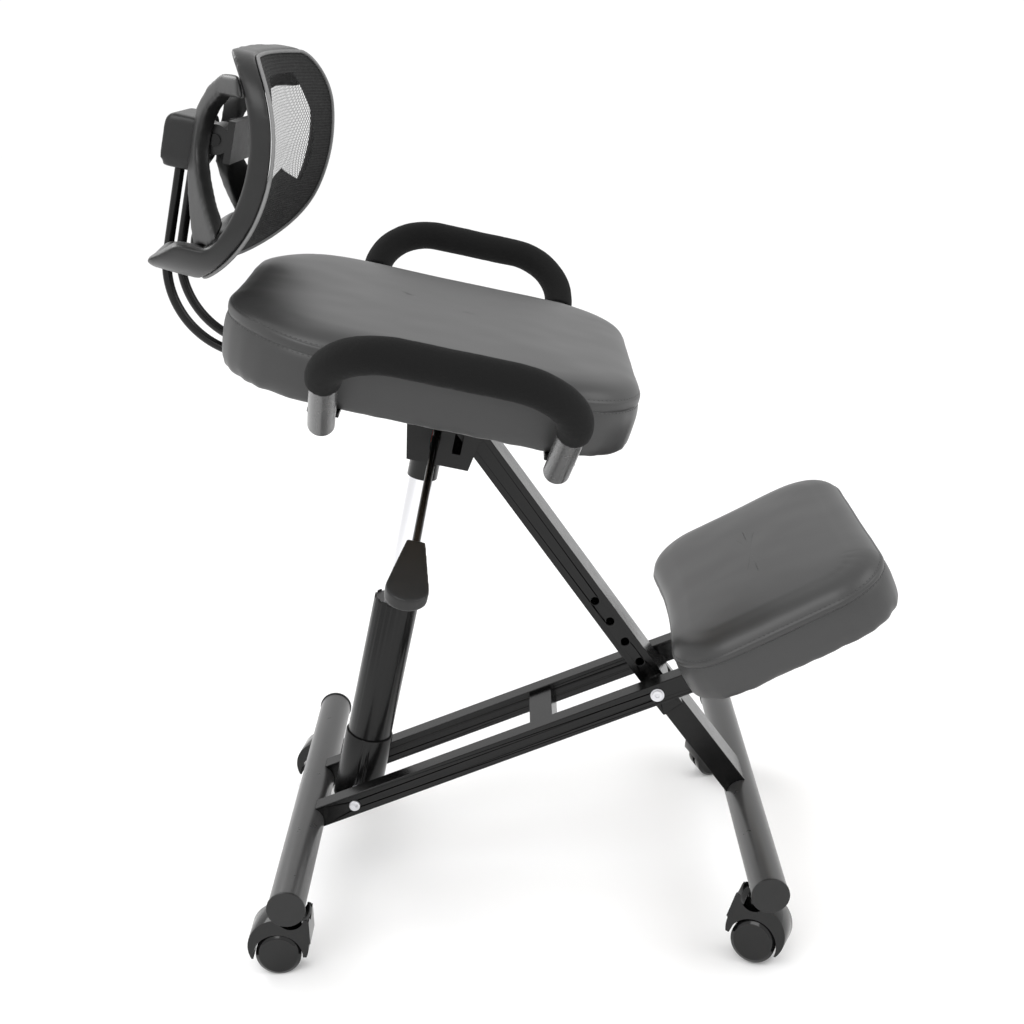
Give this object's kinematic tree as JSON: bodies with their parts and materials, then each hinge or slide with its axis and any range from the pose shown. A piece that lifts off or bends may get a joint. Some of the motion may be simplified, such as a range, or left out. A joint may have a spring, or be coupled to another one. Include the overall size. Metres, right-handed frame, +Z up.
{
  "type": "kneeling chair",
  "caption": "Kneeling chair with a padded seat and knee pad on a crossed steel frame, a gas lift, side handles, a mesh back rest and twin-wheel casters",
  "frame": {"origin": "on the floor, below the middle of the overall box", "axes": "+X is the way the sitter faces, +Y the sitter's left, +Z up"},
  "size_m": [0.7536, 0.6722, 0.9406],
  "materials": {
    "frame": "satin",
    "zinc": "satin",
    "chrome": "polished",
    "plastic": "matte",
    "gloss": "gloss",
    "leather": "satin",
    "wood": "matte",
    "rubber": "matte",
    "mesh": "matte",
    "red": "gloss",
    "grey_tube": "satin"
  },
  "bodies": {
    "base": {"rear_crossbar": "frame", "front_crossbar": "frame", "rear_caps": "plastic", "front_caps": "plastic", "near_rail": "frame", "far_rail": "frame", "cross_brace": "frame", "front_leg": "frame", "leg_cheeks": "frame", "pivot_bolt": "zinc", "pivot_spacers": "zinc", "socket_bolt": "zinc", "socket_spacers": "zinc", "knee_wedges": "frame", "knee_plate": "frame", "knee_board": "wood", "knee_cushion": "leather", "knee_screws": "zinc"},
    "lift": {"gas_socket": "frame", "socket_plug": "rubber", "outer_tube": "frame", "guide_bush": "plastic", "piston_rod": "zinc"},
    "beam": {"seat_beam": "frame"},
    "seat": {"seat_bracket": "frame", "column": "chrome", "column_seal": "rubber", "seat_pin": "zinc", "seat_board": "wood", "seat_cushion": "leather", "seat_screws": "zinc", "near_handle": "grey_tube", "far_handle": "grey_tube", "handle_feet": "frame", "near_grip": "rubber", "far_grip": "rubber", "back_bars": "frame", "bar_clamp": "frame"},
    "lever": {"lever": "frame", "lever_paddle": "plastic"},
    "button": {"release_button": "red"},
    "slider": {"slide_housing": "plastic"},
    "back": {"back_hub": "plastic", "tilt_pin": "zinc", "back_ring": "plastic", "back_struts": "plastic", "back_mesh": "mesh", "back_binding": "mesh"},
    "caster_rn": {"hood_rn": "gloss", "pins_rn": "zinc"},
    "pair_rn": {"wheels_rn": "gloss"},
    "caster_rf": {"hood_rf": "gloss", "pins_rf": "zinc"},
    "pair_rf": {"wheels_rf": "gloss"},
    "caster_fn": {"hood_fn": "gloss", "pins_fn": "zinc"},
    "pair_fn": {"wheels_fn": "gloss"},
    "caster_ff": {"hood_ff": "gloss", "pins_ff": "zinc"},
    "pair_ff": {"wheels_ff": "gloss"}
  },
  "joints": [
    {"name": "seat_height", "type": "slide", "parent": "lift", "child": "seat", "axis": [0.2351, 0, 0.972], "range_m": [-0.085, 0]},
    {"name": "lift_lean", "type": "hinge", "parent": "base", "child": "lift", "pos_m": [-0.21117, 0, 0.11439], "axis": [0, 1, 0], "range_deg": [-9.25, 0]},
    {"name": "beam_swing", "type": "hinge", "parent": "base", "child": "beam", "pos_m": [0.13, 0, 0.24127], "axis": [0, 1, 0], "range_deg": [-16, 0]},
    {"name": "lever_lift", "type": "hinge", "parent": "seat", "child": "lever", "pos_m": [-0.10258, -0.046, 0.53773], "axis": [-0.972, 0, 0.2351], "range_deg": [0, 5], "stiffness_Nm_per_rad": 2, "springref_deg": -20.05},
    {"name": "button_press", "type": "slide", "parent": "seat", "child": "button", "axis": [-0.2351, 0, -0.972], "range_m": [0, 0.0042]},
    {"name": "back_height", "type": "slide", "parent": "seat", "child": "slider", "axis": [0.2351, 0, 0.972], "range_m": [0, 0.02]},
    {"name": "back_tilt", "type": "hinge", "parent": "slider", "child": "back", "pos_m": [-0.30239, 0.00711, 0.85048], "axis": [0.0678, 0.9976, -0.0164], "range_deg": [-10, 3]},
    {"name": "swivel_rn", "type": "hinge", "parent": "base", "child": "caster_rn", "pos_m": [-0.266, -0.19, 0.094], "axis": [0, 0, 1], "continuous": true},
    {"name": "roll_rn", "type": "hinge", "parent": "caster_rn", "child": "pair_rn", "pos_m": [-0.282, -0.19, 0.024], "axis": [0, -1, 0], "continuous": true},
    {"name": "swivel_rf", "type": "hinge", "parent": "base", "child": "caster_rf", "pos_m": [-0.266, 0.19, 0.094], "axis": [0, 0, 1], "continuous": true},
    {"name": "roll_rf", "type": "hinge", "parent": "caster_rf", "child": "pair_rf", "pos_m": [-0.28184, 0.19223, 0.024], "axis": [-0.1392, -0.9903, 0], "continuous": true},
    {"name": "swivel_fn", "type": "hinge", "parent": "base", "child": "caster_fn", "pos_m": [0.232, -0.19, 0.094], "axis": [0.342, 0, 0.9397], "continuous": true},
    {"name": "roll_fn", "type": "hinge", "parent": "caster_fn", "child": "pair_fn", "pos_m": [0.22253, -0.19676, 0.02557], "axis": [0.3971, 0.9063, -0.1445], "continuous": true},
    {"name": "swivel_ff", "type": "hinge", "parent": "base", "child": "caster_ff", "pos_m": [0.232, 0.19, 0.094], "axis": [0.342, 0, 0.9397], "continuous": true},
    {"name": "roll_ff", "type": "hinge", "parent": "caster_ff", "child": "pair_ff", "pos_m": [0.22263, 0.19651, 0.02552], "axis": [-0.3822, 0.9135, 0.1391], "continuous": true}
  ],
  "couplings": [
    {"joint": "lift_lean", "follows": "seat_height", "rad_per_m": 1.88},
    {"joint": "beam_swing", "follows": "seat_height", "rad_per_m": 3.274},
    {"joint": "button_press", "follows": "lever_lift", "m_per_rad": 0.046}
  ]
}
